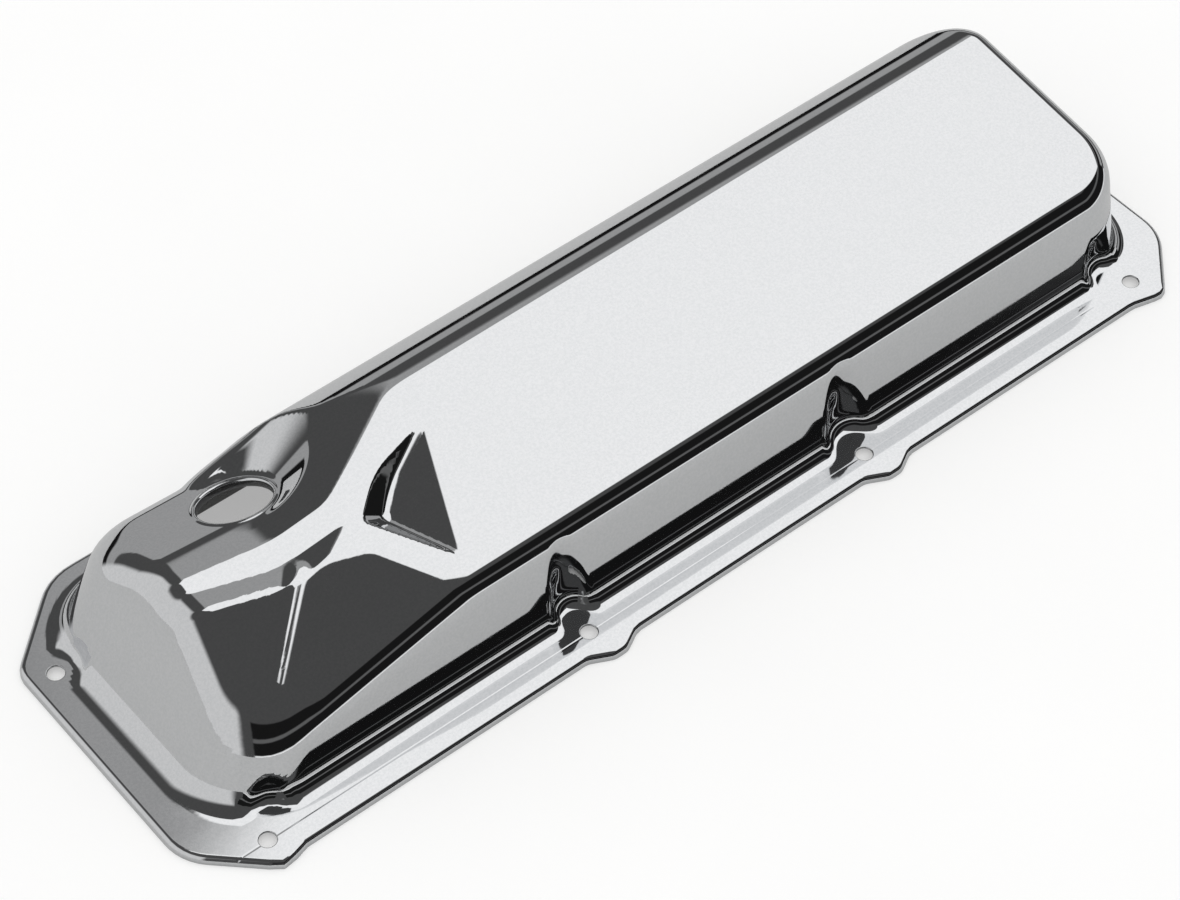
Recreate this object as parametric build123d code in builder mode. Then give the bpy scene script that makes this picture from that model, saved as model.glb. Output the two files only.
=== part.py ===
"""Pressed sheet-steel valve cover, built in millimetres with +Z up.

The driving dimensions below are measured from the near-left bolt hole on the flange's upper face
(x along the bolt row, y towards the high side); HOME moves that point into the shared frame,
whose origin is the middle of the cover at the height of the lip it rests on.
"""
import os
from math import hypot

from build123d import *

# ---- sheet and flange -------------------------------------------------------------------------
SHEET = 1.0                      # thickness of the pressed sheet
TOP_DROP = 1.15 * SHEET          # how far the inside of the top lies below its outside
LIP = 3.6                        # drop of the turned-down flange edge, flange top to lip bottom
LIP_BEND = 2.6                   # outside radius of that bend
FLANGE_X = (-30.4, 492.8)        # ends of the flange
FLANGE_Y = (-10.3, 159.4)        # near and far edges of the flange
FAR_CUT = (35.5, 33.0)           # how far the far corners are cut back along x and along y
NEAR_CUT = (24.5, 24.0)          # how high above the near edge the left and right near corners are cut
EAR = (-9.0, 1.0, 7.5, 16.5)     # bolt ear along the rail from its hole: root, tip, tip, root
EAR_OUT = 5.0                    # how far an ear stands out
END_EARS = (-1.0, 9.5, 7.5, -8.0)  # the same for the corner ears: left tip and root, right tip and root
BOLT_HOLE_R = 3.6                # clearance for a 1/4 in screw
NEAR_BOLTS_X = (0.0, 156.2, 303.5, 459.7)
FAR_BOLTS_X = (156.2, 303.5)
FAR_BOLT_Y = 152.0
END_BOLTS = ((-18.8, 116.1), (481.2, 116.1))

# ---- walls: position at flange level, and how far each leans in per millimetre of height --------
NEAR_WALL = (10.2, 0.20)
FAR_WALL = (145.2, 0.05)
LEFT_WALL = (-10.7, 0.55)
RIGHT_WALL = (477.6, 0.06)
WALL_TOP = 75.0                  # height the walls are drawn to before the top is cut
CORNER_R = (32.0, 26.0)          # plan corner radius at flange level and at WALL_TOP
BASE_BEND = 6.5                  # inside radius where wall turns into flange
TOP_ROUND = 8.5                  # outside radius where wall turns into top

# ---- filler seat ------------------------------------------------------------------------------
FILLER_R = 15.7
FILLER_XY = (68.0, 112.4)
FILLER_COLLAR = 3.4              # how far the rim is turned inwards
SEAT_SLOPE = (-0.044, -0.404)    # rise of the seat along x and y
SEAT_R = 19.0                    # flat land left around the filler hole

THROUGH = 2.0                    # how far a cutting solid runs past what it cuts
COLLAR_LAP = 0.4 * SHEET         # depth under the seat's surface where the collar starts

HOME = Vector(-(FLANGE_X[0] + FLANGE_X[1]) / 2, -(FLANGE_Y[0] + FLANGE_Y[1]) / 2, LIP)


def home(x, y, z=0.0):
    return Vector(x, y, z) + HOME


# ---- the top of the cover as one smooth height -------------------------------------------------
def low(a, b, soft):
    """The lower of two heights, blended over `soft` where they cross."""
    h = max(soft - abs(a - b), 0.0) / soft
    return min(a, b) - h * h * soft / 4


def high(a, b, soft):
    return -low(-a, -b, soft)


def seat(x, y):
    return 54.7 + SEAT_SLOPE[0] * (x - 55.9) + SEAT_SLOPE[1] * (y - 84.6)


def beside(x, y, start, end):
    """Distance of a point to the right of the plan line start-end."""
    dx, dy = end[0] - start[0], end[1] - start[1]
    return ((x - start[0]) * dy - (y - start[1]) * dx) / hypot(dx, dy)


def top(x, y):
    """Height of the outside of the top above the flange's upper face."""
    deck = 41.1 + 0.162 * y
    shoulder = 50.3 - 1.191 * (y - 139.5 + 0.012 * (x - 200.0))
    shoulder_blend = 26.0 - 0.054 * (x - 200.0)
    shelf = 54.9 + 0.118 * (x - 102.6) - 0.041 * (y - 85.1)
    around_seat = hypot(x - FILLER_XY[0], y - FILLER_XY[1]) - SEAT_R
    rise = seat(x, y) + 1.6 * high(low(around_seat, x - 60.5, 12.0), 0.0, 4.0)
    far_side = low(shelf, rise, 6.0)
    left_facet = 53.2 + 0.039 * (x - 22.4) + 0.392 * (y - 74.9)
    right_facet = 51.0 + 0.1215 * (x - 89.4) + 0.227 * (y - 61.0)
    near_side = high(left_facet, right_facet, 1.2)
    height = low(low(low(deck, far_side, 5.0), near_side, 1.0), shoulder, shoulder_blend)
    return height - high(hollow(x, y), 0.0, 1.2)


def hollow(x, y):
    """Depth of the three-sided hollow pressed into the deck above the near facets."""
    apex, heel, toe = (152.0, 93.0), (118.3, 28.5), (96.5, 74.5)
    sides = low(0.34 * beside(x, y, apex, heel), 0.5 * beside(x, y, toe, apex), 1.6)
    return low(sides, 0.5 * beside(x, y, heel, toe), 1.6)


def top_face():
    """The outside of the top as one face, finely spaced over the shaped left end."""
    xs = [-44 + 4.0 * i for i in range(54)] + [180 + 20.0 * i for i in range(17)]
    ys = [-16 + 4.0 * j for j in range(46)]
    grid = [[home(x, y, top(x, y)) for y in ys] for x in xs]
    return Face.make_surface_from_array_of_points(grid, tol=0.02, min_deg=3, max_deg=5)


def wall_outline(z, inset):
    """Rounded plan outline of the walls at height z, drawn in by `inset`."""
    lo_y = NEAR_WALL[0] + NEAR_WALL[1] * z + inset * hypot(1, NEAR_WALL[1])
    hi_y = FAR_WALL[0] - FAR_WALL[1] * z - inset * hypot(1, FAR_WALL[1])
    lo_x = LEFT_WALL[0] + LEFT_WALL[1] * z + inset * hypot(1, LEFT_WALL[1])
    hi_x = RIGHT_WALL[0] - RIGHT_WALL[1] * z - inset * hypot(1, RIGHT_WALL[1])
    radius = CORNER_R[0] + (CORNER_R[1] - CORNER_R[0]) * z / WALL_TOP - inset
    middle = home((lo_x + hi_x) / 2, (lo_y + hi_y) / 2, z)
    with BuildSketch(Plane(middle)) as outline:
        RectangleRounded(hi_x - lo_x, hi_y - lo_y, radius)
    return outline.sketch


def flange_points():
    """Corners of the flange outline, counter-clockwise, with the radius each is rounded to."""
    x0, x1 = FLANGE_X
    y0, y1 = FLANGE_Y
    near_left, *near_middle, near_right = NEAR_BOLTS_X
    left_tip, left_root, right_tip, right_root = END_EARS
    points = [(x0, y0 + NEAR_CUT[0], 24), (near_left + left_tip, y0 - EAR_OUT + 1, 7)]
    points += [(near_left + left_root, y0, 7)]
    for x in near_middle:
        points += [(x + along, y0 - out, 7) for along, out in zip(EAR, (0, EAR_OUT, EAR_OUT, 0))]
    points += [(near_right + right_root, y0, 7), (near_right + right_tip, y0 - EAR_OUT + 1, 7)]
    points += [(x1, y0 + NEAR_CUT[1], 24), (x1, y1 - FAR_CUT[1], 12), (x1 - FAR_CUT[0], y1, 26)]
    for x in reversed(FAR_BOLTS_X):
        points += [(x - along, y1 + out, 7) for along, out in zip(EAR, (0, EAR_OUT, EAR_OUT, 0))]
    points += [(x0 + FAR_CUT[0], y1, 26), (x0, y1 - FAR_CUT[1], 12)]
    return points


def flange_slab(top_z, bottom_z, inset, edge):
    """Solid under the flange surface at top_z, its rim turned down round a bend of radius edge."""
    points = flange_points()
    with BuildPart() as slab:
        with BuildSketch(Plane(home(0, 0, bottom_z))):
            with BuildLine():
                Polyline(*[(x, y) for x, y, _ in points], close=True)
            make_face()
            for x, y, radius in points:
                fillet(vertices().sort_by_distance((x, y, 0))[0], radius)
            if inset:
                offset(amount=-inset, mode=Mode.REPLACE)
        extrude(amount=top_z - bottom_z)
        fillet(slab.faces().sort_by(Axis.Z)[-1].edges(), edge)
    return slab.part


def pocket_places():
    """Bolt-head pockets pressed into the wall foot: centre, radius, radius at the top, height."""
    near_left, second, third, near_right = NEAR_BOLTS_X
    places = [(second, 7.9, 9.9, 9.3, 60), (third, 5.1, 12.7, 12.1, 60)]
    places += [(near_left + 7, 7.0, 11.0, 9.0, 20), (near_right - 7, 7.0, 11.0, 9.0, 20)]
    places += [(x, 150.0, 11.0, 1.5, 44) for x in FAR_BOLTS_X]
    places += [(-16.0, 116.1, 10.0, 8.0, 20), (482.7, 116.1, 10.0, 3.0, 30)]
    return places


def body_solid(roof, inset, edge):
    """Walls and top as a solid block, drawn in by inset, the top's edge rounded."""
    with BuildPart() as body:
        loft([wall_outline(-0.5 - inset, inset).face(), wall_outline(WALL_TOP, inset).face()], ruled=True)
        extrude(to_extrude=roof, amount=60, dir=(0, 0, 1), mode=Mode.SUBTRACT)
        fillet(widest_upward(body).edges(), edge)
    return body.part


def widest_upward(solid):
    upward = [face for face in solid.faces() if face.normal_at(face.center()).Z > 0.5]
    return max(upward, key=lambda face: face.area)


def pressing(roof, inset, bottom_z):
    """One skin of the stamping: the outside when inset is 0, the inside when it is SHEET."""
    with BuildPart() as skin:
        add(flange_slab(-inset, bottom_z, inset, LIP_BEND - inset))
        add(body_solid(roof, inset, TOP_ROUND - inset))
        level = LIP - inset
        shelf = [f for f in skin.faces().filter_by(GeomType.PLANE) if abs(f.center().Z - level) < 0.01]
        wall_foot = max(shelf, key=lambda f: f.area).inner_wires()[0]
        fillet(wall_foot.edges(), BASE_BEND + inset)
        for x, y, radius, radius_up, height in pocket_places():
            with Locations(home(x, y, -inset)):
                Cone(radius + inset, radius_up + inset, height, mode=Mode.SUBTRACT,
                     align=(Align.CENTER, Align.CENTER, Align.MIN))
    return skin.part


roof = top_face()
outside = pressing(roof, 0.0, -LIP)
inside = pressing(roof.moved(Location((0, 0, -TOP_DROP))), SHEET, -LIP - THROUGH)

seat_normal = Vector(-SEAT_SLOPE[0], -SEAT_SLOPE[1], 1).normalized()
filler_centre = home(*FILLER_XY, seat(*FILLER_XY))

with BuildPart() as cover:
    add(outside)
    add(inside, mode=Mode.SUBTRACT)
    with BuildSketch(Plane(filler_centre - seat_normal * COLLAR_LAP, z_dir=seat_normal)):
        Circle(FILLER_R + SHEET)
    extrude(amount=-FILLER_COLLAR)
    with BuildSketch(Plane(filler_centre, z_dir=seat_normal)):
        Circle(FILLER_R)
    extrude(amount=2 * FILLER_COLLAR, both=True, mode=Mode.SUBTRACT)
    with Locations(*[home(x, 0) for x in NEAR_BOLTS_X], *[home(x, FAR_BOLT_Y) for x in FAR_BOLTS_X],
                   *[home(x, y) for x, y in END_BOLTS]):
        Cylinder(BOLT_HOLE_R, 12, mode=Mode.SUBTRACT)

cover.part.label = "cover"
os.makedirs("parts", exist_ok=True)
export_step(cover.part, "parts/cover.step")
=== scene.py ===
"""Chromed pressed-steel valve cover on a pale studio floor.

Shapes are worked out in millimetres from the near-left bolt hole on the flange's upper face, x along
the bolt row and y towards the high side, and are moved into the frame, in metres, as meshes are made.
"""

import bmesh
import bpy
import numpy as np
from mathutils import Matrix, Vector


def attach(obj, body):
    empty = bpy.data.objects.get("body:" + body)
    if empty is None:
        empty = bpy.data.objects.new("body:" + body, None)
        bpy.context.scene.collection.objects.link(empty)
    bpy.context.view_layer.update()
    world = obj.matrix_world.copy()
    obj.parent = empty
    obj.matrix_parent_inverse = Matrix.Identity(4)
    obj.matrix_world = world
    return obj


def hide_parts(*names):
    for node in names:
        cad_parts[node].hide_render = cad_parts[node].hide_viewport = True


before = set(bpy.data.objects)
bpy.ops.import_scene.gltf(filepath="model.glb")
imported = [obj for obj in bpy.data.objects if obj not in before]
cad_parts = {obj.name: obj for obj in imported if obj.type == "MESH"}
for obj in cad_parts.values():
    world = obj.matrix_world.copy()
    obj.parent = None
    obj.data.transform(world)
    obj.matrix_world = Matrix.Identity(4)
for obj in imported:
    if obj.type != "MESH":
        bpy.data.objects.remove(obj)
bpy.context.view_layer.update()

# ---- sizes of the pressing ---------------------------------------------------------------------
SHEET = 1.0
LIP = 3.6
LIP_BEND = 2.6
FLANGE_X = (-30.4, 492.8)
FLANGE_Y = (-10.3, 159.4)
FAR_CUT = (35.5, 33.0)
NEAR_CUT = (24.5, 24.0)
EAR = (-9.0, 1.0, 7.5, 16.5)
EAR_OUT = 5.0
END_EARS = (-1.0, 9.5, 7.5, -8.0)
BOLT_HOLE_R = 3.6
NEAR_BOLTS_X = (0.0, 156.2, 303.5, 459.7)
FAR_BOLTS_X = (156.2, 303.5)
FAR_BOLT_Y = 152.0
END_BOLTS = ((-18.8, 116.1), (481.2, 116.1))
NEAR_WALL = (10.2, 0.20)
FAR_WALL = (145.2, 0.05)
LEFT_WALL = (-10.7, 0.55)
RIGHT_WALL = (477.6, 0.06)
WALL_TOP = 75.0
CORNER_R = (32.0, 26.0)
BASE_BEND = 6.5
TOP_ROUND = 8.5
MOUTH_ROUND = 2.4
FILLER_R = 15.7
FILLER_XY = (68.0, 112.4)
FILLER_RIM = 18.4
FILLER_COLLAR = 3.4
SEAT_R = 19.0

# ---- planes of the top: a point, the height there, and the slopes in x and y -------------------
DECK = (0.0, 0.0, 41.1, 0.0, 0.162)
SEAT = (55.9, 84.6, 54.7, -0.044, -0.404)
RAMP = (102.6, 85.1, 54.9, 0.118, -0.041)
LEFT_FACET = (60.0, 50.0, 44.9, 0.085, 0.42)
RIGHT_FACET = (100.0, 50.0, 49.8, 0.180, 0.27)
FAR_CREASE = (245.0, 110.0, 0.010)  # a point on the deck's far crease, and its drift in y along x
SHOULDER = (0.26, 0.0125)  # fall past the far crease, and how fast it steepens
SPINE_END_Y = 81.4  # far edge of the crest's band beside the filler
SPINE_TURN = (92.0, 81.5, 0.49)  # where that edge turns up towards the deck, and its slope there
SPINE_WIDTH = 11.5
SPINE_LIFT = 0.2  # slope of the band across the ramp
DISH_SLOPE = 0.62  # rise of the dish round the filler seat
LEFT_END_X = 62.0  # left of this the crest narrows and climbs
FOLD = ((64.0, 64.0), (29.0, 33.0), 3.2, 0.80)  # start, end, half width and height
# banks and floor of the hollow: steepness, and the edge each starts from
HOLLOW_SIDES = ((0.95, (96.0, 66.5), (116.5, 84.5)), (0.80, (117.0, 83.0), (146.0, 91.0)),
                (0.85, (120.5, 29.5), (96.0, 68.0)), (0.27, (147.0, 92.0), (121.5, 33.5)))
HOME = np.array([-(FLANGE_X[0] + FLANGE_X[1]) / 2, -(FLANGE_Y[0] + FLANGE_Y[1]) / 2, LIP])


def to_frame(points):
    return (np.asarray(points, float) + HOME) * 0.001


# ---- blends ------------------------------------------------------------------------------------
def low(a, b, soft):
    h = np.maximum(soft - np.abs(a - b), 0) / soft
    return np.minimum(a, b) - h * h * soft / 4


def high(a, b, soft):
    return -low(-a, -b, soft)


def rounded_edge(a, b, radius):
    """What lies inside both a and b, with the edge between them rounded."""
    reach = np.hypot(np.maximum(a + radius, 0), np.maximum(b + radius, 0))
    return np.minimum(-radius, np.maximum(a, b)) + reach


def rounded_foot(a, b, radius):
    """What lies inside a or b, with the corner between them filled to a radius."""
    reach = np.hypot(np.maximum(radius - a, 0), np.maximum(radius - b, 0))
    return np.maximum(radius, np.minimum(a, b)) - reach


# ---- the top as one smooth height ----------------------------------------------------------------
def plane(x, y, values):
    at_x, at_y, height, slope_x, slope_y = values
    return height + slope_x * (x - at_x) + slope_y * (y - at_y)


def beside(x, y, start, end):
    """Distance to the right of the line from start to end."""
    dx, dy = end[0] - start[0], end[1] - start[1]
    return ((x - start[0]) * dy - (y - start[1]) * dx) / np.hypot(dx, dy)


def hollow(x, y):
    """Depth of the hollow above the facets: a floor falling to the left between steeper banks."""
    left_bank, head_bank, foot_bank, floor = (steepness * beside(x, y, start, end)
                                              for steepness, start, end in HOLLOW_SIDES)
    return low(low(low(left_bank, head_bank, 4.0), foot_bank, 3.0), floor, 2.0)


def fold(x, y):
    """Height of the raised fold down the near end, fading out smoothly to each side."""
    start, end, width, raised = FOLD
    dx, dy = end[0] - start[0], end[1] - start[1]
    share = np.clip(((x - start[0]) * dx + (y - start[1]) * dy) / (dx * dx + dy * dy), 0, 1)
    away = np.hypot(x - start[0] - share * dx, y - start[1] - share * dy)
    return raised * np.exp(-(away / width) ** 2)


def top(x, y):
    deck = plane(x, y, DECK)
    # the far side bends down past a crease and steepens into the shoulder
    crease_x, crease_y, drift = FAR_CREASE
    fall, steepening = SHOULDER
    over = high(y - crease_y - drift * (x - crease_x), 0.0, 1.6)
    shoulder = deck - fall * over - steepening * over ** 2
    # the crest carries a band between the near facets and the ramp behind it
    leftward = high(LEFT_END_X - x, 0.0, 8.0)
    turn_x, turn_y, turn_slope = SPINE_TURN
    past_turn = (y - turn_y - turn_slope * (x - turn_x)) / np.hypot(1, turn_slope)
    past_spine = low(y - SPINE_END_Y - 0.15 * leftward, past_turn, 3.0)
    band = SPINE_LIFT * high(low(past_spine, 0.0, 1.2), 0.14 * leftward - SPINE_WIDTH, 1.2)
    ramp = plane(x, y, RAMP) + 0.14 * leftward + band
    # the ramp dishes down to the flat seat round the filler hole
    around_seat = np.hypot(x - FILLER_XY[0], y - FILLER_XY[1]) - SEAT_R
    dish = plane(x, y, SEAT) + DISH_SLOPE * high(low(around_seat, x - 60.5, 12.0), 0.0, 1.5)
    far_side = low(ramp, dish, 2.0)
    near_side = high(plane(x, y, LEFT_FACET), plane(x, y, RIGHT_FACET), 0.6)
    height = low(low(low(deck, far_side, 0.7), near_side, 0.8), shoulder, 1.0)
    return height + fold(x, y) - high(hollow(x, y), 0.0, 0.9)


# ---- the pressing as one rounded solid: below zero inside, zero on its outer skin ------------------
def inside_walls(x, y, z):
    """Distance to the rounded outline of the walls at height z."""
    lo_x, hi_x = LEFT_WALL[0] + LEFT_WALL[1] * z, RIGHT_WALL[0] - RIGHT_WALL[1] * z
    lo_y, hi_y = NEAR_WALL[0] + NEAR_WALL[1] * z, FAR_WALL[0] - FAR_WALL[1] * z
    radius = CORNER_R[0] + (CORNER_R[1] - CORNER_R[0]) * z / WALL_TOP
    qx = np.abs(x - (lo_x + hi_x) / 2) - (hi_x - lo_x) / 2 + radius
    qy = np.abs(y - (lo_y + hi_y) / 2) - (hi_y - lo_y) / 2 + radius
    lean_x = np.where(x < (lo_x + hi_x) / 2, LEFT_WALL[1], RIGHT_WALL[1])
    lean_y = np.where(y < (lo_y + hi_y) / 2, NEAR_WALL[1], FAR_WALL[1])
    reach = np.hypot(np.maximum(qx, 0), np.maximum(qy, 0))
    share = np.where(reach > 0, np.maximum(qx, 0) / np.maximum(reach, 1e-9), qx > qy)
    lean = np.hypot(lean_x * share, lean_y * np.sqrt(np.maximum(1 - share * share, 0)))
    return (np.minimum(np.maximum(qx, qy), 0) + reach - radius) / np.sqrt(1 + lean * lean)


def under_top(x, y, z):
    step = 0.2
    slope_x = (top(x + step, y) - top(x - step, y)) / (2 * step)
    slope_y = (top(x, y + step) - top(x, y - step)) / (2 * step)
    return (z - top(x, y)) / np.sqrt(1 + slope_x ** 2 + slope_y ** 2)


def pocket_places():
    near_left, second, third, near_right = NEAR_BOLTS_X
    places = [(second, 7.9, 9.9, 9.3, 60), (third, 5.1, 12.7, 12.1, 60)]
    places += [(near_left + 7, 7.0, 11.0, 9.0, 20), (near_right - 7, 7.0, 11.0, 9.0, 20)]
    places += [(x, 150.0, 11.0, 1.5, 44) for x in FAR_BOLTS_X]
    places += [(-16.0, 116.1, 10.0, 8.0, 20), (482.7, 116.1, 10.0, 3.0, 30)]
    return places


def outside_pocket(x, y, z, place):
    px, py, foot_r, head_r, tall = place
    narrowing = (foot_r - head_r) / tall
    away = np.hypot(x - px, y - py) - (foot_r - narrowing * z)
    return np.maximum(away / np.hypot(1, narrowing), z - tall)


def skin(x, y, z):
    body = rounded_edge(inside_walls(x, y, z), under_top(x, y, z), TOP_ROUND)
    for place in pocket_places():
        body = rounded_edge(body, -outside_pocket(x, y, z, place), MOUTH_ROUND)
    return rounded_foot(body, z, BASE_BEND)


def skin_normal(points):
    x, y, z = points[:, 0], points[:, 1], points[:, 2]
    step = 0.15
    grad = np.stack([skin(x + step, y, z) - skin(x - step, y, z),
                     skin(x, y + step, z) - skin(x, y - step, z),
                     skin(x, y, z + step) - skin(x, y, z - step)], axis=1)
    return grad / np.linalg.norm(grad, axis=1)[:, None]


def meet(start, end, level):
    """Where lines that begin inside the sheet and end outside cross the skin, moved by level."""
    inner, outer = np.zeros(len(start)), np.ones(len(start))
    for _ in range(26):
        middle = (inner + outer) / 2
        at = start + (end - start) * middle[:, None]
        out = skin(at[:, 0], at[:, 1], at[:, 2]) > level
        outer, inner = np.where(out, middle, outer), np.where(out, inner, middle)
    return start + (end - start) * ((inner + outer) / 2)[:, None]


# ---- loops of stations round the cover -------------------------------------------------------------
def rounded_box(lo_x, hi_x, lo_y, hi_y, radius, side):
    """One side of a rounded box as a dense path, from mid-corner to mid-corner."""
    quarter = np.linspace(0, np.pi / 4, 24)
    if side in ("near", "far"):
        length, depth = hi_x - lo_x, lo_y if side == "near" else hi_y
    else:
        length, depth = hi_y - lo_y, lo_x if side == "left" else hi_x
    sign = 1 if side in ("near", "left") else -1
    along = np.concatenate([radius * (1 - np.sin(quarter[::-1])), length - radius * (1 - np.sin(quarter))])
    inwards = np.concatenate([radius * (1 - np.cos(quarter[::-1])), radius * (1 - np.cos(quarter))])
    if side in ("near", "far"):
        return np.stack([lo_x + along, depth + sign * inwards], axis=1)
    return np.stack([depth + sign * inwards, lo_y + along], axis=1)


def spread(path, axis, marks):
    """Points on a path: marks inside its straight middle are coordinates, the rest share out its ends."""
    first, last = marks[0], marks[-1]
    run = np.concatenate([[0], np.cumsum(np.linalg.norm(np.diff(path, axis=0), axis=1))])
    a = np.interp(first, path[:, axis], run)
    b = np.interp(last, path[:, axis], run)
    head = np.linspace(0, a, CORNER_STEPS + 1)[:-1]
    tail = np.linspace(b, run[-1], CORNER_STEPS + 1)[1:]
    middle = np.interp(marks, path[:, axis], run)
    at = np.concatenate([head, middle, tail])
    return np.stack([np.interp(at, run, path[:, 0]), np.interp(at, run, path[:, 1])], axis=1)


def marks_between(start, end, spacing):
    """Marks from start to end whose spacing follows the rule given."""
    fine = np.linspace(start, end, 4000)
    run = np.concatenate([[0], np.cumsum(np.diff(fine) / spacing(fine[1:]))])
    return np.interp(np.linspace(0, run[-1], 2 * int(round(run[-1] / 2)) + 1), run, fine)


def along_spacing(x):
    near_pocket = np.minimum(np.abs(x - NEAR_BOLTS_X[1]), np.abs(x - NEAR_BOLTS_X[2]))
    plain = np.where(x < 165, 1.35, 4.0)
    return np.where(near_pocket < 16, 1.1, plain)


TOP_EDGE = (33.0, 460.0, 31.0, 127.0, 15.0)  # box and corner radius of the ring round the top's grid
RING_STEPS = {"lip": 6, "flange": 8, "foot": 9, "wall": 14, "rounding": 11}
BOLT_SEGMENTS = 48
FILLER_SEGMENTS = 120
CORNER_STEPS = 26
ALONG = marks_between(78.0, 425.0, along_spacing)
ACROSS = marks_between(66.0, 92.0, lambda y: np.full_like(y, 1.3))
SIDES = ("near", "right", "far", "left")


def loop(lo_x, hi_x, lo_y, hi_y, radius):
    """All stations round a rounded box, near side first, and the same number on opposite sides."""
    parts = []
    for side in SIDES:
        path = rounded_box(lo_x, hi_x, lo_y, hi_y, radius, side)
        axis, marks = (0, ALONG) if side in ("near", "far") else (1, ACROSS)
        points = spread(path, axis, marks)
        if side in ("far", "left"):
            points = points[::-1]
        parts.append(points[:-1])
    return np.concatenate(parts)


def outward(points):
    ahead = np.roll(points, -1, axis=0) - np.roll(points, 1, axis=0)
    ahead /= np.linalg.norm(ahead, axis=1)[:, None]
    return np.stack([ahead[:, 1], -ahead[:, 0]], axis=1)


def flange_points():
    x0, x1 = FLANGE_X
    y0, y1 = FLANGE_Y
    near_left, *near_middle, near_right = NEAR_BOLTS_X
    left_tip, left_root, right_tip, right_root = END_EARS
    points = [(x0, y0 + NEAR_CUT[0], 24), (near_left + left_tip, y0 - EAR_OUT + 1, 7)]
    points += [(near_left + left_root, y0, 7)]
    for x in near_middle:
        points += [(x + along, y0 - out, 7) for along, out in zip(EAR, (0, EAR_OUT, EAR_OUT, 0))]
    points += [(near_right + right_root, y0, 7), (near_right + right_tip, y0 - EAR_OUT + 1, 7)]
    points += [(x1, y0 + NEAR_CUT[1], 24), (x1, y1 - FAR_CUT[1], 12), (x1 - FAR_CUT[0], y1, 26)]
    for x in reversed(FAR_BOLTS_X):
        points += [(x - along, y1 + out, 7) for along, out in zip(EAR, (0, EAR_OUT, EAR_OUT, 0))]
    points += [(x0 + FAR_CUT[0], y1, 26), (x0, y1 - FAR_CUT[1], 12)]
    return points


def flange_edge():
    """The flange outline as a dense closed path with its corners rounded."""
    corners = flange_points()
    path = []
    for i, (x, y, radius) in enumerate(corners):
        here = np.array([x, y])
        back = np.array(corners[i - 1][:2]) - here
        on = np.array(corners[(i + 1) % len(corners)][:2]) - here
        back, on = back / np.linalg.norm(back), on / np.linalg.norm(on)
        half = np.arccos(np.clip(back @ on, -1, 1)) / 2
        middle = (back + on) / np.linalg.norm(back + on)
        centre = here + middle * radius / np.sin(half)
        first = here + back * radius / np.tan(half) - centre
        last = here + on * radius / np.tan(half) - centre
        a, b = np.arctan2(first[1], first[0]), np.arctan2(last[1], last[0])
        sweep = (b - a + np.pi) % (2 * np.pi) - np.pi
        for t in np.linspace(0, 1, 10):
            path.append(centre + radius * np.array([np.cos(a + sweep * t), np.sin(a + sweep * t)]))
    return np.array(path)


def out_to(edge, start, direction):
    """Where level rays from start meet the closed path edge, and the path's outward normal there."""
    a, b = edge, np.roll(edge, -1, axis=0)
    run = b - a
    normal = np.stack([run[:, 1], -run[:, 0]], axis=1) / np.linalg.norm(run, axis=1)[:, None]
    gap = a[None] - start[:, None]
    cross = direction[:, None, 0] * run[None, :, 1] - direction[:, None, 1] * run[None, :, 0]
    cross = np.where(np.abs(cross) < 1e-12, 1e-12, cross)
    t = (gap[..., 0] * run[None, :, 1] - gap[..., 1] * run[None, :, 0]) / cross
    u = (gap[..., 0] * direction[:, None, 1] - gap[..., 1] * direction[:, None, 0]) / cross
    t = np.where((u >= -1e-9) & (u <= 1 + 1e-9) & (t > 0), t, np.inf)
    pick = t.argmin(axis=1)
    hit = start + direction * t.min(axis=1)[:, None]
    smooth = outward(edge)
    share = np.clip(u[np.arange(len(pick)), pick], 0, 1)[:, None]
    bent = smooth[pick] * (1 - share) + smooth[(pick + 1) % len(edge)] * share
    return hit, bent / np.linalg.norm(bent, axis=1)[:, None]


def lifted(points, height):
    return np.column_stack([points, np.broadcast_to(height, len(points))])


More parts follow.
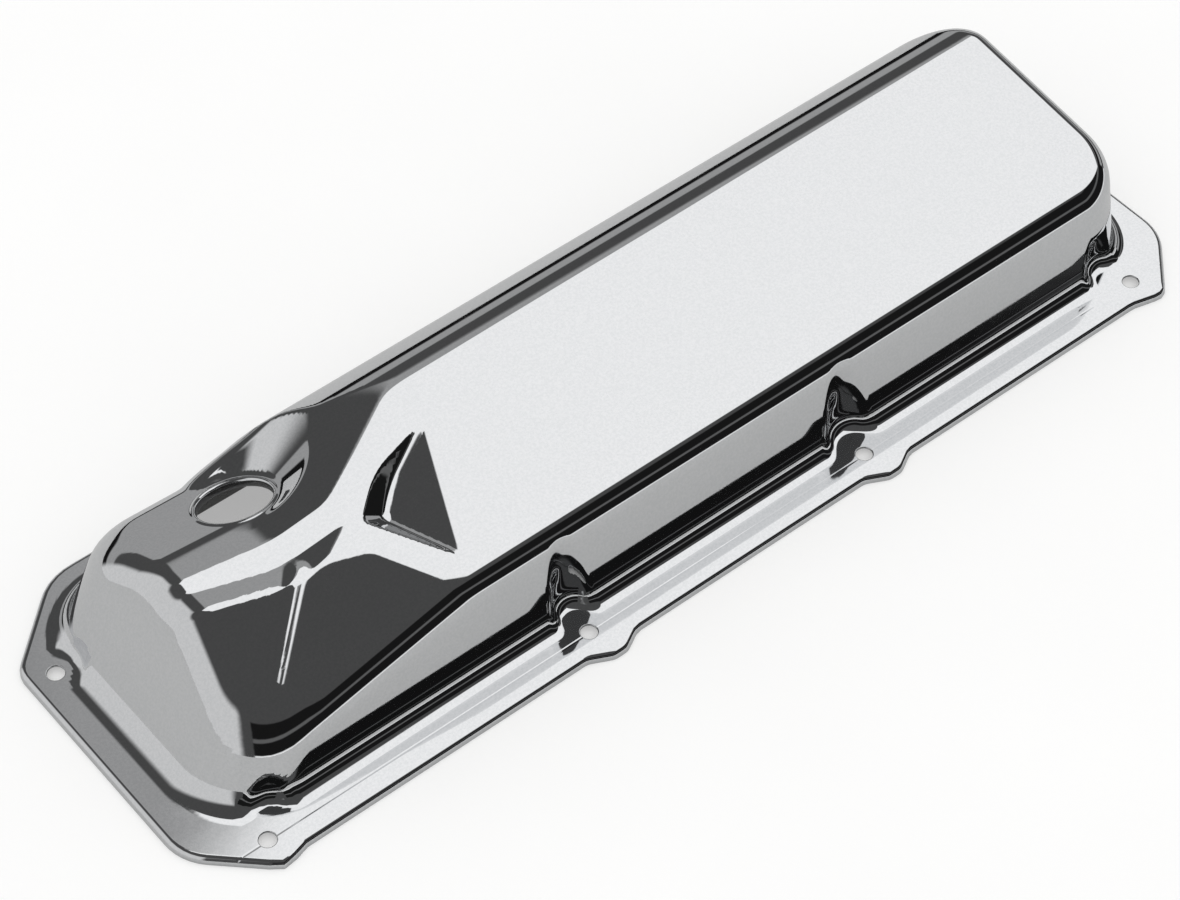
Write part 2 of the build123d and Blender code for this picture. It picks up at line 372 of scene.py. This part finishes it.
def rings_of_skin(level, coarse):
    """Rings from the lip's lower edge over flange, foot, wall and rounding to the edge of the top."""
    foot = loop(LEFT_WALL[0], RIGHT_WALL[0], NEAR_WALL[0], FAR_WALL[0], CORNER_R[0])[::coarse]
    away = outward(foot)
    inner = loop(*TOP_EDGE)[::coarse]
    edge, edge_out = out_to(flange_edge(), foot, away)
    steps = {part: count // coarse for part, count in RING_STEPS.items()}
    rings = []
    # lip and its bend, as drawn with the flange outline
    bend = LIP_BEND + level
    face = edge + edge_out * level
    for z in (-LIP, -LIP_BEND):
        rings.append((lifted(face, z), lifted(edge_out, 0.0)))
    for angle in np.linspace(0, np.pi / 2, steps["lip"] + 2)[1:]:
        across, up = np.cos(angle), np.sin(angle)
        at = lifted(edge - edge_out * (LIP_BEND - bend * across), -LIP_BEND + bend * up)
        rings.append((at, np.column_stack([edge_out * across, np.full(len(at), up)])))
    flat_start = edge - edge_out * LIP_BEND
    # where the wall or pocket stands at the height of the foot's bend
    probe = meet(lifted(foot - away * 22, BASE_BEND), lifted(foot + away * 9, BASE_BEND), level)[:, :2]
    bend_centre = probe + away * BASE_BEND
    flat_end = bend_centre + away * 0.6
    for share in np.linspace(0, 1, steps["flange"] + 1)[1:-1]:
        at = lifted(flat_start * (1 - share) + flat_end * share, level)
        rings.append((at, None))
    for angle in np.linspace(np.radians(-97), 0, steps["foot"] + 2):
        reach = BASE_BEND - level + 3.0
        offset = -away * np.cos(angle)
        end = lifted(bend_centre, BASE_BEND)
        start = lifted(bend_centre + offset * reach, BASE_BEND + np.sin(angle) * reach)
        rings.append((meet(start, end, level), None))
    # walls, by level lines out from a spine that drifts from the foot to the edge of the top
    head = top(*(inner.T)) - TOP_ROUND
    for share in np.linspace(0, 1, steps["wall"] + 1)[1:]:
        z = BASE_BEND + (head - BASE_BEND) * share
        at = foot + (inner - foot) * share
        start, end = lifted(at - away * 26 * (1 - 0.6 * share), z), lifted(at + away * 45, z)
        rings.append((meet(start, end, level), None))
    # rounding into the top, as a fan from inside the bend
    centre = rings[-1][0][:, :2] - away * (TOP_ROUND + 1.0)
    for angle in np.linspace(0, np.pi / 2, steps["rounding"] + 2)[1:]:
        start = lifted(centre, head - 1.0)
        end = lifted(centre + away * 40 * np.cos(angle), head - 1.0 + 40 * np.sin(angle))
        rings.append((meet(start, end, level), None))
    for share in (0.5, 1.0):
        at = centre * (1 - share) + inner * share
        z = top(*(at.T))
        rings.append((meet(lifted(at, z - 14), lifted(at, z + 12), level), None))
    return rings, inner


def top_patch(inner, level, coarse):
    """Grid over the top whose edge is the last ring, by blending its four sides."""
    wide = (len(ALONG) - 1 + 2 * CORNER_STEPS) // coarse
    deep = (len(ACROSS) - 1 + 2 * CORNER_STEPS) // coarse
    total = len(inner)
    index = np.arange(total)
    near = index[:wide + 1]
    right = index[wide:wide + deep + 1]
    far = index[wide + deep:2 * wide + deep + 1][::-1]
    left = np.append(index[2 * wide + deep:], 0)[::-1]
    s = np.linspace(0, 1, wide + 1)[:, None, None]
    t = np.linspace(0, 1, deep + 1)[None, :, None]
    n, f, l, r = inner[near][:, None], inner[far][:, None], inner[left][None], inner[right][None]
    corners = ((1 - s) * (1 - t) * inner[near[0]] + s * (1 - t) * inner[near[-1]]
               + (1 - s) * t * inner[far[0]] + s * t * inner[far[-1]])
    plan = (1 - t) * n + t * f + (1 - s) * l + s * r - corners
    flat = plan.reshape(-1, 2)
    z = top(*(flat.T))
    points = meet(lifted(flat, z - 14), lifted(flat, z + 12), level)
    border = {}
    for i in range(wide + 1):
        border[(i, 0)], border[(i, deep)] = near[i], far[i]
    for j in range(deep + 1):
        border[(0, j)], border[(wide, j)] = left[j], right[j]
    return points.reshape(wide + 1, deep + 1, 3), border


def add_skin(mesh, level, coarse, tag, turned):
    """Adds one skin of the sheet to a bmesh and returns its lip ring."""
    rings, inner = rings_of_skin(level, coarse)
    loops = [[mesh.verts.new(p) for p in points] for points, _ in rings]
    count = len(loops[0])
    normals = {}

    def face(*verts):
        made = mesh.faces.new(verts[::-1] if turned else verts)
        made.material_index = tag
        made.smooth = True

    for lower, upper in zip(loops, loops[1:]):
        for i in range(count):
            j = (i + 1) % count
            face(lower[i], lower[j], upper[j], upper[i])
    for (points, known), verts in zip(rings, loops):
        across = skin_normal(points) if known is None else known
        for v, n in zip(verts, across):
            normals[v] = -n if turned else n
    grid, border = top_patch(inner, level, coarse)
    wide, deep = grid.shape[0] - 1, grid.shape[1] - 1
    flat_normals = skin_normal(grid.reshape(-1, 3)).reshape(grid.shape)
    cells = {}
    for i in range(wide + 1):
        for j in range(deep + 1):
            if (i, j) in border:
                cells[i, j] = loops[-1][border[i, j]]
            else:
                cells[i, j] = v = mesh.verts.new(grid[i, j])
                normals[v] = -flat_normals[i, j] if turned else flat_normals[i, j]
    for i in range(wide):
        for j in range(deep):
            face(cells[i, j], cells[i + 1, j], cells[i + 1, j + 1], cells[i, j + 1])
    return loops[0], normals


def open_hole(mesh, tag, centre, axis, radius, margin, segments, level, normals, turned):
    """Cuts a round hole in one skin and leaves a ring of evenly spaced points on its edge."""
    centre, axis = np.array(centre, float), np.array(axis, float)
    side = np.cross(axis, (1.0, 0.0, 0.0))
    side /= np.linalg.norm(side)
    other = np.cross(axis, side)

    def off_axis(v):
        d = np.array(v.co) - centre
        along = d @ axis
        return np.linalg.norm(d - along * axis) if abs(along) < 8 else 1e9

    doomed = [f for f in mesh.faces if f.material_index == tag
              and min(off_axis(v) for v in f.verts) < radius + margin]
    edges = {e for f in doomed for e in f.edges}
    doomed_set = set(doomed)
    rim = [e for e in edges if any(f not in doomed_set for f in e.link_faces)]
    bmesh.ops.delete(mesh, geom=doomed, context="FACES_KEEP_BOUNDARY")
    loose = [v for v in mesh.verts if not v.link_faces and not v.link_edges]
    bmesh.ops.delete(mesh, geom=loose, context="VERTS")
    rim = [e for e in rim if e.is_valid]
    turn = np.linspace(0, 2 * np.pi, segments, endpoint=False)
    ring = centre + radius * (np.cos(turn)[:, None] * side + np.sin(turn)[:, None] * other)
    ring = meet(ring - axis * 4, ring + axis * 4, level)
    across = skin_normal(ring)
    verts = [mesh.verts.new(p) for p in ring]
    for v, n in zip(verts, across):
        normals[v] = -n if turned else n
    hoop = [mesh.edges.new((verts[i], verts[(i + 1) % segments])) for i in range(segments)]
    filled = bmesh.ops.triangle_fill(mesh, use_beauty=True, edges=rim + hoop, normal=Vector(axis))
    for f in filled["geom"]:
        if isinstance(f, bmesh.types.BMFace):
            f.material_index, f.smooth = tag, True
            f.normal_update()
            if (f.normal.dot(Vector(axis)) < 0) != turned:
                f.normal_flip()
    return verts, (centre, axis, side, other, turn)


def join_rings(mesh, lower, upper):
    count = len(lower)
    for i in range(count):
        j = (i + 1) % count
        mesh.faces.new((lower[i], lower[j], upper[j], upper[i])).smooth = True


def line_hole(mesh, outer, inner, place, profile):
    """Sweeps a section (radius, height along the axis) between the rings of the two skins."""
    centre, axis, side, other, turn = place
    last = outer
    for radius, height in profile:
        around = np.cos(turn)[:, None] * side + np.sin(turn)[:, None] * other
        ring = centre + axis * height + radius * around
        verts = [mesh.verts.new(p) for p in ring]
        join_rings(mesh, last, verts)
        last = verts
    join_rings(mesh, last, inner)


def bolt_places():
    places = [(x, 0.0) for x in NEAR_BOLTS_X] + [(x, FAR_BOLT_Y) for x in FAR_BOLTS_X]
    return places + list(END_BOLTS)


def press_cover():
    mesh = bmesh.new()
    lip_out, normals = add_skin(mesh, 0.0, 1, 0, False)
    lip_in, more = add_skin(mesh, -SHEET, 2, 1, True)
    normals.update(more)
    for i, v in enumerate(lip_in):
        a, b, c = lip_out[2 * i], lip_out[2 * i + 1], lip_out[(2 * i + 2) % len(lip_out)]
        w = lip_in[(i + 1) % len(lip_in)]
        mesh.faces.new((b, a, v))
        mesh.faces.new((b, v, w))
        mesh.faces.new((b, w, c))
    for x, y in bolt_places():
        rounding = 0.35
        args = (mesh, 0, (x, y, 0.0), (0, 0, 1), BOLT_HOLE_R + rounding, 1.2, BOLT_SEGMENTS, 0.0,
                normals, False)
        outer, place = open_hole(*args)
        args = (mesh, 1, (x, y, 0.0), (0, 0, 1), BOLT_HOLE_R + 0.1, 1.6, BOLT_SEGMENTS, -SHEET,
                normals, True)
        inner, _ = open_hole(*args)
        profile = [(BOLT_HOLE_R + 0.1, -0.1), (BOLT_HOLE_R, -rounding), (BOLT_HOLE_R, -0.9)]
        line_hole(mesh, outer, inner, place, profile)
    axis = np.array([-SEAT[3], -SEAT[4], 1.0])
    axis /= np.linalg.norm(axis)
    centre = np.array([*FILLER_XY, float(top(*FILLER_XY))])
    args = (mesh, 0, centre, axis, FILLER_RIM, 1.0, FILLER_SEGMENTS, 0.0, normals, False)
    outer, place = open_hole(*args)
    args = (mesh, 1, centre, axis, FILLER_RIM, 1.6, FILLER_SEGMENTS, -SHEET, normals, True)
    inner, _ = open_hole(*args)
    profile = [(18.0, 0.05), (17.6, 0.22), (17.1, 0.38), (16.6, 0.36), (16.1, 0.1), (15.8, -0.4),
               (FILLER_R, -1.0), (FILLER_R, -2.9), (15.8, -3.3), (16.2, -FILLER_COLLAR),
               (16.6, -3.3), (16.7, -2.9), (16.7, -2.0), (17.1, -1.35)]
    line_hole(mesh, outer, inner, place, profile)
    return mesh, normals


def finish_cover():
    mesh, normals = press_cover()
    for v in mesh.verts:
        v.co = Vector(to_frame(v.co))
    mesh.verts.index_update()
    known = np.zeros((len(mesh.verts), 3))
    for v, n in normals.items():
        if v.is_valid:
            known[v.index] = n
    for f in mesh.faces:
        f.smooth = True
    data = bpy.data.meshes.new("cover_pressing")
    mesh.to_mesh(data)
    mesh.free()
    data.normals_split_custom_set_from_vertices(known.tolist())
    cover = bpy.data.objects.new("cover_pressing", data)
    bpy.context.scene.collection.objects.link(cover)
    return cover


# ---- shader building blocks ------------------------------------------------------------------------
class Wiring:
    """Adds nodes to one tree and joins them up."""

    def __init__(self, tree):
        self.tree = tree

    def add(self, kind, **settings):
        node = self.tree.nodes.new(kind)
        for name, value in settings.items():
            setattr(node, name, value)
        return node

    def feed(self, node, name, value):
        """Joins a socket to the input called name, or sets that input."""
        if isinstance(value, bpy.types.NodeSocket):
            self.tree.links.new(value, node.inputs[name])
        else:
            node.inputs[name].default_value = value

    def math(self, operation, *values, clamp=False):
        node = self.add("ShaderNodeMath", operation=operation, use_clamp=clamp)
        for i, value in enumerate(values):
            self.feed(node, i, value)
        return node.outputs[0]

    def ramp(self, value, start, end, low_out=0.0, high_out=1.0):
        """Smooth change from low_out to high_out as value goes from start to end."""
        node = self.add("ShaderNodeMapRange", interpolation_type="SMOOTHSTEP")
        for name, given in (("Value", value), ("From Min", start), ("From Max", end),
                            ("To Min", low_out), ("To Max", high_out)):
            self.feed(node, name, given)
        return node.outputs["Result"]

    def noise(self, vector, scale, detail=2.0, roughness=0.5):
        node = self.add("ShaderNodeTexNoise")
        self.feed(node, "Vector", vector)
        self.feed(node, "Scale", scale)
        self.feed(node, "Detail", detail)
        self.feed(node, "Roughness", roughness)
        return node.outputs["Fac"]

    def mix(self, share, first, second):
        """Blends two colours."""
        node = self.add("ShaderNodeMix", data_type="RGBA")
        self.feed(node, 0, share)
        self.feed(node, 6, first)
        self.feed(node, 7, second)
        return node.outputs[2]

    def use(self, group, **inputs):
        node = self.add("ShaderNodeGroup", node_tree=group)
        for name, value in inputs.items():
            self.feed(node, name.replace("_", " "), value)
        return node


def new_group(name, inputs, outputs):
    """A shader group: inputs as (name, default), where a default of None is a vector."""
    group = bpy.data.node_groups.new(name, "ShaderNodeTree")
    for label, value in inputs:
        kind = "NodeSocketVector" if value is None else "NodeSocketFloat"
        socket = group.interface.new_socket(label, in_out="INPUT", socket_type=kind)
        if value is not None:
            socket.default_value = value
    for label in outputs:
        group.interface.new_socket(label, in_out="OUTPUT", socket_type="NodeSocketFloat")
    wire = Wiring(group)
    return group, wire, wire.add("NodeGroupInput").outputs, wire.add("NodeGroupOutput").inputs


# ---- materials -------------------------------------------------------------------------------------
def new_material(name):
    material = bpy.data.materials.new(name)
    material.use_nodes = True
    material.node_tree.nodes.clear()
    wire = Wiring(material.node_tree)
    surface = wire.add("ShaderNodeBsdfPrincipled")
    output = wire.add("ShaderNodeOutputMaterial")
    material.node_tree.links.new(surface.outputs["BSDF"], output.inputs["Surface"])
    return material, wire, surface


def plate_haze():
    """Faint clouding left by handling: how dull the plate is and how much its tone drops."""
    inputs = [("Place", None), ("Amount", 1.0)]
    group, wire, given, out = new_group("plate_haze", inputs, ["Dullness", "Shade"])
    clouds = wire.noise(given["Place"], 38.0, 4.0, 0.6)
    specks = wire.noise(given["Place"], 420.0, 2.0, 0.6)
    clouded = wire.math("MULTIPLY", wire.ramp(clouds, 0.42, 0.72), 0.7)
    specked = wire.math("MULTIPLY", wire.ramp(specks, 0.5, 0.8), 0.3)
    dull = wire.math("MULTIPLY", wire.math("ADD", clouded, specked), given["Amount"])
    wire.tree.links.new(dull, out["Dullness"])
    grains = wire.ramp(wire.noise(given["Place"], 900.0, 2.0, 0.7), 0.3, 0.7)
    wire.tree.links.new(wire.math("MULTIPLY", grains, given["Amount"]), out["Shade"])
    return group


def fine_scratches():
    """Hairlines in one direction from wiping, as a height in metres."""
    inputs = [("Place", None), ("Spacing", 900.0), ("Stretch", 0.03), ("Turn", 0.4), ("Depth", 1e-7)]
    group, wire, given, out = new_group("fine_scratches", inputs, ["Height"])
    spin = wire.add("ShaderNodeVectorRotate", rotation_type="Z_AXIS")
    wire.feed(spin, "Vector", given["Place"])
    wire.feed(spin, "Angle", given["Turn"])
    squash = wire.add("ShaderNodeCombineXYZ")
    wire.feed(squash, "X", given["Stretch"])
    squash.inputs["Y"].default_value, squash.inputs["Z"].default_value = 1.0, 1.0
    scaled = wire.add("ShaderNodeVectorMath", operation="MULTIPLY")
    wire.feed(scaled, 0, spin.outputs[0])
    wire.feed(scaled, 1, squash.outputs[0])
    lines = wire.noise(scaled.outputs[0], given["Spacing"], 1.0)
    cut = wire.ramp(lines, 0.62, 0.70)
    sunk = wire.math("MULTIPLY", given["Depth"], -1.0)
    wire.tree.links.new(wire.math("MULTIPLY", cut, sunk), out["Height"])
    return group


def soft_ripple():
    """Slow unevenness of pressed and buffed sheet, as a height in metres."""
    inputs = [("Place", None), ("Scale", 60.0), ("Depth", 1e-5)]
    group, wire, given, out = new_group("soft_ripple", inputs, ["Height"])
    waves = wire.noise(given["Place"], given["Scale"], 2.0, 0.4)
    wire.tree.links.new(wire.math("MULTIPLY", waves, given["Depth"]), out["Height"])
    return group


def rail_line():
    """Witness line drawn along the rail where the blank was gripped, as a height in metres."""
    inputs = [("Place", None), ("Line", 0.0), ("Width", 0.001), ("Above", 0.0), ("Depth", 1e-5)]
    group, wire, given, out = new_group("rail_line", inputs, ["Height"])
    split = wire.add("ShaderNodeSeparateXYZ")
    wire.feed(split, 0, given["Place"])
    away = wire.math("ABSOLUTE", wire.math("SUBTRACT", split.outputs["Y"], given["Line"]))
    groove = wire.ramp(away, given["Width"], 0.0)
    on_rail = wire.ramp(split.outputs["Z"], wire.math("ADD", given["Above"], 0.0006), given["Above"])
    fade = wire.ramp(split.outputs["X"], -0.04, 0.02, 1.0, 0.45)
    cut = wire.math("MULTIPLY", groove, on_rail)
    depth = wire.math("MULTIPLY", cut, wire.math("MULTIPLY", fade, given["Depth"]))
    wire.tree.links.new(wire.math("MULTIPLY", depth, -1.0), out["Height"])
    return group


def raise_surface(wire, surface, heights):
    """Adds up heights in metres and bends the surface's normal with them."""
    total = heights[0]
    for height in heights[1:]:
        total = wire.math("ADD", total, height)
    bump = wire.add("ShaderNodeBump")
    bump.inputs["Distance"].default_value = 1.0
    wire.feed(bump, "Height", total)
    wire.feed(surface, "Normal", bump.outputs["Normal"])


HAZE, SCRATCHES, RIPPLE, RAIL_LINE = plate_haze(), fine_scratches(), soft_ripple(), rail_line()


def chrome_plate():
    """Bright decorative chrome over buffed steel."""
    material, wire, surface = new_material("chrome_plate")
    place = wire.add("ShaderNodeTexCoord").outputs["Object"]
    haze = wire.use(HAZE, Place=place, Amount=1.0)
    tone = wire.mix(haze.outputs["Shade"], (0.675, 0.68, 0.69, 1), (0.62, 0.63, 0.64, 1))
    wire.feed(surface, "Base Color", tone)
    wire.feed(surface, "Roughness", wire.ramp(haze.outputs["Dullness"], 0.0, 1.0, 0.028, 0.075))
    surface.inputs["Metallic"].default_value = 1.0
    ripple = wire.use(RIPPLE, Place=place, Scale=70.0, Depth=1.1e-5)
    peel = wire.use(RIPPLE, Place=place, Scale=420.0, Depth=0.6e-6)
    wiped = wire.use(SCRATCHES, Place=place, Spacing=900.0, Stretch=0.03, Turn=0.35, Depth=0.5e-7)
    line = wire.use(RAIL_LINE, Place=place, Line=-0.07505, Width=0.0007, Above=0.0042, Depth=4e-5)
    raise_surface(wire, surface, [node.outputs["Height"] for node in (ripple, peel, wiped, line)])
    return material


def bare_inside():
    """The unbuffed inner face, where the plating is thin and the drawn sheet shows through."""
    material, wire, surface = new_material("bare_inside")
    place = wire.add("ShaderNodeTexCoord").outputs["Object"]
    haze = wire.use(HAZE, Place=place, Amount=1.0)
    tone = wire.mix(haze.outputs["Dullness"], (0.50, 0.50, 0.495, 1), (0.36, 0.355, 0.34, 1))
    wire.feed(surface, "Base Color", tone)
    wire.feed(surface, "Roughness", wire.ramp(haze.outputs["Dullness"], 0.0, 1.0, 0.26, 0.46))
    surface.inputs["Metallic"].default_value = 1.0
    grain = wire.use(RIPPLE, Place=place, Scale=900.0, Depth=2.5e-6)
    drawn = wire.use(SCRATCHES, Place=place, Spacing=500.0, Stretch=0.05, Turn=1.2, Depth=1e-6)
    raise_surface(wire, surface, [node.outputs["Height"] for node in (grain, drawn)])
    return material


def pale_floor():
    """Matt floor, near white to the eye and a little greyer in the plating, with its shadow kept."""
    material, wire, surface = new_material("pale_floor")
    place = wire.add("ShaderNodeTexCoord").outputs["Object"]
    mottle = wire.noise(place, 9.0, 3.0)
    tone = wire.mix(mottle, (0.60, 0.60, 0.595, 1), (0.63, 0.63, 0.625, 1))
    wire.feed(surface, "Base Color", tone)
    surface.inputs["Roughness"].default_value = 0.9
    surface.inputs["Specular IOR Level"].default_value = 0.1
    path = wire.add("ShaderNodeLightPath").outputs
    mirrored = wire.math("MAXIMUM", path["Is Glossy Ray"], path["Is Transmission Ray"])
    lift = wire.math("MAXIMUM", wire.math("MULTIPLY", path["Is Camera Ray"], 0.39),
                     wire.math("MULTIPLY", mirrored, 0.05))
    surface.inputs["Emission Color"].default_value = (1, 1, 1, 1)
    wire.feed(surface, "Emission Strength", lift)
    return material


cover = finish_cover()
cover.data.materials.append(chrome_plate())
cover.data.materials.append(bare_inside())
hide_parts("cover")
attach(cover, "root")


# ---- floor, light and camera -----------------------------------------------------------------------
def lay_floor():
    data = bpy.data.meshes.new("floor")
    half = 4.0
    corners = [(-half, -half, 0), (half, -half, 0), (half, half, 0), (-half, half, 0)]
    data.from_pydata(corners, [], [(0, 1, 2, 3)])
    floor = bpy.data.objects.new("floor", data)
    bpy.context.scene.collection.objects.link(floor)
    floor.data.materials.append(pale_floor())
    return floor


def place_camera():
    """Camera over the near-left corner, looking along the cover towards its far right end."""
    back = Vector((-0.4139, -0.5041, 0.7580)).normalized()
    right = Vector((0.7746, -0.6324, 0.0024)).normalized()
    up = back.cross(right)
    place = Vector(to_frame(right * 121.361 + up * 146.634 + back * 1242.568))
    data = bpy.data.cameras.new("camera")
    data.sensor_width = 36.0
    data.lens = 100.68
    camera = bpy.data.objects.new("camera", data)
    rotation = Matrix((right, up, back)).transposed()
    camera.matrix_world = Matrix.Translation(place) @ rotation.to_4x4()
    data.clip_start, data.clip_end = 0.05, 30
    bpy.context.scene.collection.objects.link(camera)
    bpy.context.scene.camera = camera


def band_of(wire, value, low_edge, high_edge, blur):
    """One between the two edges, none outside them, with edges softened by blur."""
    rise = wire.ramp(value, wire.math("SUBTRACT", low_edge, blur), wire.math("ADD", low_edge, blur))
    fall = wire.ramp(value, wire.math("ADD", high_edge, blur), wire.math("SUBTRACT", high_edge, blur))
    return wire.math("MULTIPLY", rise, fall)


def turn_and_height(wire, direction):
    split = wire.add("ShaderNodeSeparateXYZ")
    wire.feed(split, 0, direction)
    up = wire.math("DEGREES", wire.math("ARCSINE", split.outputs["Z"]))
    return wire.math("ARCTAN2", split.outputs["Y"], split.outputs["X"]), up


def standing_card():
    """Cover of a soft-edged card standing round the studio, by degrees round and up."""
    inputs = [("Direction", None), ("Round", 0.0), ("Half Width", 60.0), ("Low", 0.0), ("High", 30.0),
              ("Blur", 2.0)]
    group, wire, given, out = new_group("standing_card", inputs, ["Cover"])
    turn, up = turn_and_height(wire, given["Direction"])
    away = wire.math("SUBTRACT", wire.math("DEGREES", turn), given["Round"])
    away = wire.math("WRAP", away, 180.0, -180.0)
    half = given["Half Width"]
    sides = band_of(wire, away, wire.math("MULTIPLY", half, -1.0), half, given["Blur"])
    levels = band_of(wire, up, given["Low"], given["High"], given["Blur"])
    wire.tree.links.new(wire.math("MULTIPLY", sides, levels), out["Cover"])
    return group


def hanging_card():
    """Cover of a rectangular soft box overhead, in degrees from straight up along two turned axes."""
    inputs = [("Direction", None), ("Turn", 0.0), ("Start", 10.0), ("End", 50.0), ("Left", -30.0),
              ("Right", 30.0), ("Blur", 1.0)]
    group, wire, given, out = new_group("hanging_card", inputs, ["Cover"])
    turn, up = turn_and_height(wire, given["Direction"])
    from_top = wire.math("SUBTRACT", 90.0, up)
    turn = wire.math("SUBTRACT", turn, wire.math("RADIANS", given["Turn"]))
    along = wire.math("MULTIPLY", from_top, wire.math("COSINE", turn))
    across = wire.math("MULTIPLY", from_top, wire.math("SINE", turn))
    length = band_of(wire, along, given["Start"], given["End"], given["Blur"])
    width = band_of(wire, across, given["Left"], given["Right"], given["Blur"])
    wire.tree.links.new(wire.math("MULTIPLY", length, width), out["Cover"])
    return group


# name: turn of its middle, half its width, lowest and highest edge, blur (degrees), brightness
STANDING_CARDS = {
    "front_flag": (-60, 75, -10, 47, 1.2, 0.012),
    "front_glow": (-60, 75, -10, 3, 1.2, 1.10),
    "front_strip": (-60, 75, 24, 29, 1.2, 0.15),
    "far_band": (56, 60, -10, 14, 1.0, 0.42),
    "far_foot": (56, 60, -10, 5, 1.0, 0.01),
    "far_panel": (56, 12, 28, 58, 3.0, 0.42),
    "left_reflector": (160, 50, -10, 52, 5.0, 0.80),
}
SOFT_BOX = {"Turn": 24.0, "Start": 9.4, "End": 55.0, "Left": -31.0, "Right": 21.0, "Blur": 1.0}
SOFT_BOX_BRIGHTNESS = 1.22
STUDIO_DARK = 0.085


def light_studio():
    """Dark studio hung with soft cards for the plating, even light for the floor, white to the eye."""
    world = bpy.data.worlds.new("studio")
    bpy.context.scene.world = world
    world.use_nodes = True
    world.node_tree.nodes.clear()
    wire = Wiring(world.node_tree)
    direction = wire.add("ShaderNodeTexCoord").outputs["Generated"]
    standing = standing_card()
    tone = (STUDIO_DARK, STUDIO_DARK, STUDIO_DARK, 1)
    for label, (turn, half, low_edge, high_edge, blur, bright) in STANDING_CARDS.items():
        placed = wire.use(standing, Direction=direction, Round=turn, Half_Width=half, Low=low_edge,
                          High=high_edge, Blur=blur)
        placed.label = label
        tone = wire.mix(placed.outputs["Cover"], tone, (bright, bright, bright, 1))
    box = wire.use(hanging_card(), Direction=direction, **SOFT_BOX)
    box.label = "soft_box"
    bright = SOFT_BOX_BRIGHTNESS
    tone = wire.mix(box.outputs["Cover"], tone, (bright, bright, bright, 1))
    path = wire.add("ShaderNodeLightPath").outputs
    even = wire.math("MAXIMUM", path["Is Camera Ray"], path["Is Diffuse Ray"])
    background = wire.add("ShaderNodeBackground")
    wire.feed(background, "Color", wire.mix(even, tone, (1, 1, 1, 1)))
    output = wire.add("ShaderNodeOutputWorld")
    world.node_tree.links.new(background.outputs[0], output.inputs["Surface"])


lay_floor()
place_camera()
light_studio()
bpy.context.scene.view_settings.view_transform = "Standard"
